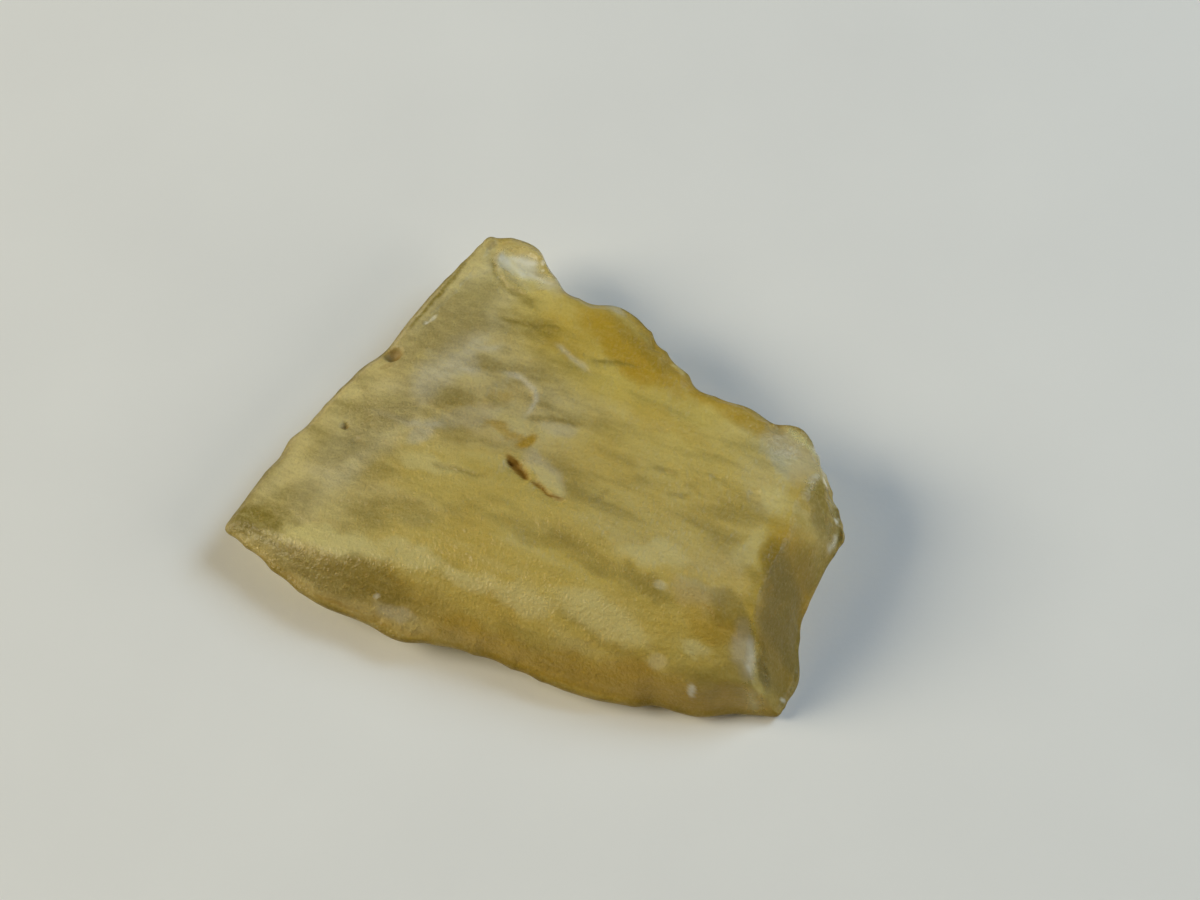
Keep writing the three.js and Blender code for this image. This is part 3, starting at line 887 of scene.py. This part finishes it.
    def body(self) -> bpy.types.Object:
        """Builds the flake as one closed mesh.

        Returns:
            The mesh object, in metres, with its markings as attributes.
        """
        cells, half = self.cells, self.cells // 2
        top, under = self.top_skin(cells), self.under_skin(half)
        rows = self.band()
        points = np.vstack([top, under, *rows])
        under_start = len(top)
        row_start = under_start + len(under)
        count = len(self.rim.points)
        quads = [self.sheet(cells, 0, False), self.sheet(half, under_start, True)]
        here = np.arange(count)
        ahead = (here + 1) % count
        upper = self.border(cells)
        for k in range(len(rows)):
            lower = row_start + k * count + here
            quads.append(np.column_stack([upper, upper[ahead], lower[ahead], lower]))
            upper = lower
        coarse = under_start + self.border(half)
        even = np.arange(0, count, 2)
        step = np.roll(coarse, -1)
        middle, after = upper[even + 1], upper[(even + 2) % count]
        triangles = np.vstack([
            np.column_stack([upper[even], middle, coarse]),
            np.column_stack([middle, step, coarse]),
            np.column_stack([middle, after, step]),
        ])
        mesh = bpy.data.meshes.new("raw_glass")
        faces = [tuple(map(int, quad)) for quad in np.vstack(quads)]
        faces += [tuple(map(int, triangle)) for triangle in triangles]
        mesh.from_pydata((points * MM).tolist(), [], faces)
        mesh.update()
        mesh.shade_smooth()
        shown_rows = np.repeat(self.rim_shown, count)
        shown = np.concatenate([np.ones(len(top)), np.zeros(len(under)), shown_rows])
        self.mark(mesh, points, shown)
        flake = bpy.data.objects.new("raw_glass", mesh)
        bpy.context.scene.collection.objects.link(flake)
        return flake

    def sheet(self, cells: int, start: int, flipped: bool) -> np.ndarray:
        """The quads of a square grid of points.

        Args:
            cells: grid cells along a side.
            start: index of the grid's first point.
            flipped: True to face down.

        Returns:
            Corner indices, one quad a row.
        """
        row = cells + 1
        across, up = (grid.ravel() for grid in np.meshgrid(np.arange(cells), np.arange(cells)))
        corner = start + up * row + across
        quads = np.column_stack([corner, corner + 1, corner + row + 1, corner + row])
        return quads[:, ::-1] if flipped else quads

    def border(self, cells: int) -> np.ndarray:
        """The points on a square grid's edge, clockwise from its top left.

        Args:
            cells: grid cells along a side.

        Returns:
            Indices of the points.
        """
        row = cells + 1
        run = np.arange(cells)
        return np.concatenate([cells * row + run, (cells - run) * row + cells, cells - run, run * row])

    def mark(self, mesh: bpy.types.Mesh, points: np.ndarray, shown: np.ndarray) -> None:
        """Stores the strength of every kind of marking at each point of the mesh, painted light and shade
        among them.

        Args:
            mesh: the flake's mesh.
            points: its points in mm, one a row.
            shown: how much of the markings each point shows.
        """
        x, y = points[:, :2].T
        warped_x = x + self.patch_fray * self.broad.layers(x, y, 2.6, 4)
        warped_y = y + self.patch_fray * self.broad.layers(y + 50.0, x, 2.6, 4)
        frayed_x = x + self.streak_fray * self.fine.layers(x, y + 30.0, 1.2, 3)
        frayed_y = y + self.streak_fray * self.fine.layers(y + 30.0, x, 1.2, 3)
        rim_shade = self.rim_shade(points)
        for mark in Mark:
            crisp = mark in (Mark.RUST, Mark.CHALK_AND_GLINT)
            from_x, from_y = (x, y) if crisp else (warped_x, warped_y)
            strength = np.zeros(len(points))
            for patch in self.patches:
                if patch.mark is mark:
                    strength = np.maximum(strength, patch.strengths(from_x, from_y, crisp))
            for streak in self.streaks:
                if streak.mark is mark:
                    strength = np.maximum(strength, streak.strengths(frayed_x, frayed_y))
            if mark in rim_shade:
                strength = np.maximum(strength, rim_shade[mark])
            layer = mesh.attributes.new(mark.value, "FLOAT", "POINT")
            layer.data.foreach_set("value", (strength * shown).astype(np.float32))

    def rim_shade(self, points: np.ndarray) -> dict[Mark, np.ndarray]:
        """The painted shade along the rim: how amber and how dark the glass looks where it thins out at the
        rim.

        Args:
            points: the mesh's points in mm, one a row.

        Returns:
            The strengths of these markings.
        """
        flat = points[:, :2] - self.rim.hub
        line = self.rim.points[:, :2] - self.rim.hub
        turns = np.unwrap(np.arctan2(line[:, 1], line[:, 0]))
        start, order = turns[0], np.argsort(turns)
        angle = np.arctan2(flat[:, 1], flat[:, 0])
        angle = start - (start - angle) % (2 * math.pi)
        spans = np.linalg.norm(line, axis=1)
        span, amber, dark, width = (
            np.interp(angle, turns[order], column[order]) for column in (spans, *self.rim.wear_and_shade[:, 2:].T)
        )
        depth = span - np.linalg.norm(flat, axis=1)
        patchy = 0.75 + 0.45 * self.broad.layers(points[:, 0] + 20.0, points[:, 1], 2.2, 2)
        thin = patchy * np.exp(-((depth / (width + 0.35)) ** 2))
        edge = np.exp(-((depth / self.edge_shade_reach) ** 2))
        # painted shade: amber and dark bands along the rim
        return {Mark.AMBER: amber * thin, Mark.DARK: np.minimum(1.15 * dark * patchy, 1.0) * edge}


@dataclass(frozen=True)
class Wire:
    """An output socket that Python expressions can use: each operator adds a Math node."""

    graph: Graph
    socket: bpy.types.NodeSocket | None

    def math(self, operation: str, first: Wire | float, second: Wire | float) -> Wire:
        """Adds a Math node that works on two values, and returns its result."""
        return self.graph.node("ShaderNodeMath", {"operation": operation}, {0: first, 1: second})

    def __add__(self, other: Wire | float) -> Wire:
        """Adds a value to this one."""
        return self.math("ADD", self, other)

    def __radd__(self, other: float) -> Wire:
        """Adds this value to a number."""
        return self.math("ADD", other, self)

    def __sub__(self, other: Wire | float) -> Wire:
        """Takes a value from this one."""
        return self.math("SUBTRACT", self, other)

    def __rsub__(self, other: float) -> Wire:
        """Takes this value from a number."""
        return self.math("SUBTRACT", other, self)

    def __mul__(self, other: Wire | float) -> Wire:
        """Multiplies this value."""
        return self.math("MULTIPLY", self, other)

    def __rmul__(self, other: float) -> Wire:
        """Multiplies a number by this value."""
        return self.math("MULTIPLY", other, self)

    def clipped(self) -> Wire:
        """This value, held between 0 and 1."""
        return self.graph.node("ShaderNodeClamp", {}, {0: self})


@dataclass(frozen=True)
class Graph:
    """The node tree of one material."""

    tree: bpy.types.NodeTree

    def node(
        self, kind: str, settings: dict | None = None, inputs: dict | None = None, output: int = 0
    ) -> Wire:
        """Adds a node.

        Args:
            kind: the node's type.
            settings: its properties, by name.
            inputs: values or wires for its sockets, by name or number.
            output: which output to return.

        Returns:
            The chosen output.
        """
        made = self.tree.nodes.new(kind)
        for name, value in (settings or {}).items():
            setattr(made, name, value)
        for name, value in (inputs or {}).items():
            if isinstance(value, Wire):
                self.tree.links.new(value.socket, made.inputs[name])
            else:
                made.inputs[name].default_value = value
        return Wire(self, made.outputs[output] if made.outputs else None)

    def mix(self, factor: Wire | float, first: Wire | Rgb, second: Wire | Rgb) -> Wire:
        """Mixes two colours by the share of the second, and returns the mixed colour."""
        first, second = (c if isinstance(c, Wire) else (*c, 1.0) for c in (first, second))
        return self.node("ShaderNodeMix", {"data_type": "RGBA"}, {0: factor, 6: first, 7: second}, 2)

    def noise(self, scale: float, detail: float, seed: float = 0.0, stretched: bool = False) -> Wire:
        """Noise over the object's own coordinates.

        Args:
            scale: bumps in a metre.
            detail: number of finer layers.
            seed: which noise to draw.
            stretched: True for bumps drawn out along the flake's grain.

        Returns:
            A value around 0.5.
        """
        place = self.node("ShaderNodeTexCoord", output=3)
        if stretched:
            inputs = {"Vector": place, "Rotation": (0.0, 0.0, math.radians(-25.0)), "Scale": (3.5, 1.0, 1.0)}
            place = self.node("ShaderNodeMapping", {"vector_type": "TEXTURE"}, inputs)
        settings = {"noise_dimensions": "4D"}
        inputs = {"Vector": place, "W": seed, "Scale": scale, "Detail": detail}
        return self.node("ShaderNodeTexNoise", settings, inputs)

    def attribute(self, name: str) -> Wire:
        """A number stored at the mesh's points."""
        return self.node("ShaderNodeAttribute", {"attribute_name": name}, output=2)


@dataclass(frozen=True)
class DesertGlass:
    """The finish of the flake: frosted, see-through yellow glass with milky, amber and rusty markings, and
    painted glow, highlights and shade.
    """

    tint: Rgb = (0.82, 0.71, 0.34)
    honey_tint: Rgb = (0.85, 0.67, 0.14)
    # bright yellow: the painted glow and highlights, and the lighter grain
    glow_tint: Rgb = (1.0, 0.89, 0.38)
    # the milky patches, and painted highlights on the chips
    pale_tint: Rgb = (0.86, 0.87, 0.76)
    # deeper amber: painted shade at the thick end and rim, brown stains, and the cloudy tone
    amber_tint: Rgb = (0.64, 0.40, 0.02)
    # olive: painted shade on facets, edges and steps, the flow lines and the darker grain
    dark_tint: Rgb = (0.25, 0.19, 0.02)
    rust_tint: Rgb = (0.19, 0.095, 0.008)
    # white flecks and painted glints on the chips
    chalk_and_glint_tint: Rgb = (0.88, 0.86, 0.74)
    absorbed: Rgb = (0.96, 0.88, 0.12)
    density: float = 200.0  # of the absorbing volume
    refraction: float = 1.46
    clearness: float = 0.52  # share of the light that passes through the surface
    shine: float = 0.25  # strength of the reflections
    cloud_scale: float = 170.0  # these five: bumps in a metre
    wisp_scale: float = 500.0
    brush_scale: float = 2200.0
    ripple_scale: float = 2400.0
    speck_scale: float = 5000.0
    cloudiness: float = 0.3  # these four: how strongly they tint the glass
    wispiness: float = 0.56
    brushing: float = 0.3
    specking: float = 0.46
    haze: float = 0.23  # the lowest roughness
    bump_height: float = 0.00012  # in metres

    def material(self) -> bpy.types.Material:
        """Builds the material.

        Returns:
            The material, with its surface and its volume.
        """
        made = bpy.data.materials.new("desert_glass")
        made.use_nodes = True
        made.node_tree.nodes.clear()
        graph = Graph(made.node_tree)
        cloud = graph.noise(self.cloud_scale, 5.0)
        wisp = graph.noise(self.wisp_scale, 6.0, 6.0, stretched=True)
        speck = graph.noise(self.speck_scale, 2.0, 4.0)
        brushed = graph.noise(self.brush_scale, 3.0, 8.0, stretched=True)
        honey = graph.attribute("honey")
        colour = graph.mix(honey, self.tint, self.honey_tint)
        colour = graph.mix((cloud * 4.0 - 1.9).clipped() * self.cloudiness, colour, self.amber_tint)
        wisping = self.wispiness - 0.16 * honey
        colour = graph.mix((wisp * 6.0 - 2.9).clipped() * wisping, colour, self.dark_tint)
        colour = graph.mix((2.7 - wisp * 6.0).clipped() * wisping, colour, self.glow_tint)
        # painted shade: deeper amber at the thick end and rim, with brown stains
        colour = graph.mix(graph.attribute("amber"), colour, self.amber_tint)
        # milky patches, with painted highlights on the chips
        colour = graph.mix(graph.attribute("pale"), colour, self.pale_tint)
        # painted light: glow where light shines through, and highlights on edges
        colour = graph.mix(graph.attribute("glow"), colour, self.glow_tint)
        # painted shade on facets, edges and steps, with the flow lines
        colour = graph.mix(graph.attribute("dark"), colour, self.dark_tint)
        brushing = self.brushing - 0.2 * honey
        colour = graph.mix((brushed * 4.0 - 2.0).clipped() * brushing, colour, self.dark_tint)
        colour = graph.mix((2.0 - brushed * 4.0).clipped() * brushing, colour, self.glow_tint)
        specking = self.specking - 0.2 * honey
        colour = graph.mix((speck * 2.0 - 1.0).clipped() * specking, colour, self.dark_tint)
        colour = graph.mix((1.0 - speck * 2.0).clipped() * specking, colour, self.glow_tint)
        # white flecks and painted glints
        colour = graph.mix(graph.attribute("chalk_and_glint"), colour, self.chalk_and_glint_tint)
        rust = graph.attribute("rust")
        colour = graph.mix(rust, colour, self.rust_tint)
        gloss = graph.attribute("gloss")
        roughness = self.haze + 0.2 * wisp + 0.1 * speck + 0.15 * graph.attribute("pale")
        roughness = roughness - 0.18 * gloss
        worn = 1.0 - 0.7 * gloss
        height = (speck * 0.6 + graph.noise(self.ripple_scale, 3.0, 2.0) * 1.1) * worn
        bump = graph.node("ShaderNodeBump", inputs={
            "Strength": 1.0,
            "Distance": self.bump_height,
            "Height": height,
        })
        glass = graph.node("ShaderNodeBsdfPrincipled", inputs={
            "Base Color": colour,
            "Roughness": roughness.clipped(),
            "IOR": self.refraction,
            "Specular IOR Level": self.shine,
            "Transmission Weight": self.clearness,
            "Normal": bump,
        })
        stain = graph.node("ShaderNodeBsdfPrincipled", inputs={
            "Base Color": colour,
            "Roughness": 0.7,
            "Specular IOR Level": 0.1,
        })
        # rust, white flecks and painted glints turn the surface matte
        opaque = (rust + graph.attribute("chalk_and_glint") * 0.7).clipped()
        surface = graph.node("ShaderNodeMixShader", inputs={0: opaque, 1: glass, 2: stain})
        volume = graph.node("ShaderNodeVolumeAbsorption", inputs={
            "Color": (*self.absorbed, 1.0),
            "Density": self.density,
        })
        graph.node("ShaderNodeOutputMaterial", inputs={"Surface": surface, "Volume": volume})
        return made


@dataclass(frozen=True)
class Paper:
    """The plain pale paper that the flake lies on."""

    colour: Rgb = (0.79, 0.78, 0.745)
    shade: Rgb = (0.75, 0.74, 0.71)
    roughness: float = 0.85

    def material(self) -> bpy.types.Material:
        """Builds the material.

        Returns:
            The material.
        """
        made = bpy.data.materials.new("pale_paper")
        made.use_nodes = True
        made.node_tree.nodes.clear()
        graph = Graph(made.node_tree)
        mottle = (graph.noise(60.0, 4.0) * 1.6 - 0.3).clipped()
        grain = graph.node("ShaderNodeBump", inputs={
            "Strength": 0.15,
            "Distance": 0.00008,
            "Height": graph.noise(1800.0, 4.0, 1.0),
        })
        surface = graph.node("ShaderNodeBsdfPrincipled", inputs={
            "Base Color": graph.mix(mottle, self.colour, self.shade),
            "Roughness": self.roughness,
            "Normal": grain,
        })
        graph.node("ShaderNodeOutputMaterial", inputs={"Surface": surface})
        return made


@dataclass(frozen=True)
class SoftLight:
    """A square light: its compass angle from +X and its height angle in degrees, width, power and colour."""

    name: str
    azimuth: float
    elevation: float
    width: float
    power: float
    colour: Rgb

    def build(self, aim: Vector, distance: float) -> None:
        """Adds the light.

        Args:
            aim: the point that it faces, in metres.
            distance: how far it stands from that point, in metres.
        """
        around, up = math.radians(self.azimuth), math.radians(self.elevation)
        towards = Vector((math.cos(around) * math.cos(up), math.sin(around) * math.cos(up), math.sin(up)))
        lamp = bpy.data.lights.new(self.name, "AREA")
        lamp.size = self.width
        lamp.energy = self.power
        lamp.color = self.colour
        light = bpy.data.objects.new(self.name, lamp)
        light.location = aim + distance * towards
        light.rotation_euler = towards.to_track_quat("Z", "Y").to_euler()
        bpy.context.scene.collection.objects.link(light)


@dataclass
class Studio:
    """The pale floor, the soft light and the camera at the photograph's view."""

    floor_size: float = 3.0  # in metres
    floor_gap: float = 0.00005  # how far the floor lies below the flake, in metres
    sky: Rgb = (0.95, 0.97, 1.0)
    sky_strength: float = 0.02
    aim: Point3 = (0.00523, 0.00328, 0.0)
    elevation: float = 62.0  # of the camera, in degrees
    distance: float = 0.25  # of the camera from its aim, in metres
    lens: float = 93.0  # in mm
    light_distance: float = 0.8  # in metres
    lights: tuple[SoftLight, ...] = (
        SoftLight("window_left", 180, 32, 0.40, 5.4, (1.0, 0.92, 0.72)),
        SoftLight("window_right", 30, 45, 0.40, 3.2, (0.62, 0.80, 1.0)),
        SoftLight("wall_right", 345, 22, 0.40, 1.9, (1.0, 0.96, 0.84)),
    )

    def floor(self) -> bpy.types.Object:
        """Builds the floor.

        Returns:
            The floor, which is no part of the object.
        """
        half = self.floor_size / 2
        mesh = bpy.data.meshes.new("paper_floor")
        corners = [(-half, -half, 0), (half, -half, 0), (half, half, 0), (-half, half, 0)]
        mesh.from_pydata(corners, [], [(0, 1, 2, 3)])
        mesh.materials.append(Paper().material())
        floor = bpy.data.objects.new("paper_floor", mesh)
        floor.location.z = -self.floor_gap
        bpy.context.scene.collection.objects.link(floor)
        return floor

    def light(self) -> None:
        """Adds the weak light from all around, the two windows and the wall that reflects them."""
        world = bpy.data.worlds.new("even_room")
        world.use_nodes = True
        background = world.node_tree.nodes["Background"]
        background.inputs["Color"].default_value = (*self.sky, 1.0)
        background.inputs["Strength"].default_value = self.sky_strength
        bpy.context.scene.world = world
        for light in self.lights:
            light.build(Vector(self.aim), self.light_distance)

    def camera(self) -> bpy.types.Object:
        """Adds the camera.

        Returns:
            The camera, looking down on the flake.
        """
        data = bpy.data.cameras.new("photo_view")
        data.lens = self.lens
        data.sensor_width = 36.0
        data.clip_start = 0.01
        camera = bpy.data.objects.new("photo_view", data)
        tilt = math.radians(self.elevation)
        back = Vector((0.0, -math.cos(tilt), math.sin(tilt)))
        camera.location = Vector(self.aim) + self.distance * back
        camera.rotation_euler = (math.pi / 2 - tilt, 0.0, 0.0)
        bpy.context.scene.collection.objects.link(camera)
        bpy.context.scene.camera = camera
        return camera


def main() -> None:
    """Builds the studio and the flake, and reports what was made."""
    logging.basicConfig(level=logging.INFO, format="%(name)s: %(message)s")
    bpy.context.scene.view_settings.view_transform = "Standard"
    studio = Studio()
    studio.camera()
    studio.light()
    studio.floor()
    flake = Flake().body()
    flake.data.materials.append(DesertGlass().material())
    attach(flake, BODY)
    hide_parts(NODE)
    log.info("%s: %d faces", flake.name, len(flake.data.polygons))


if __name__ == "__main__":
    main()
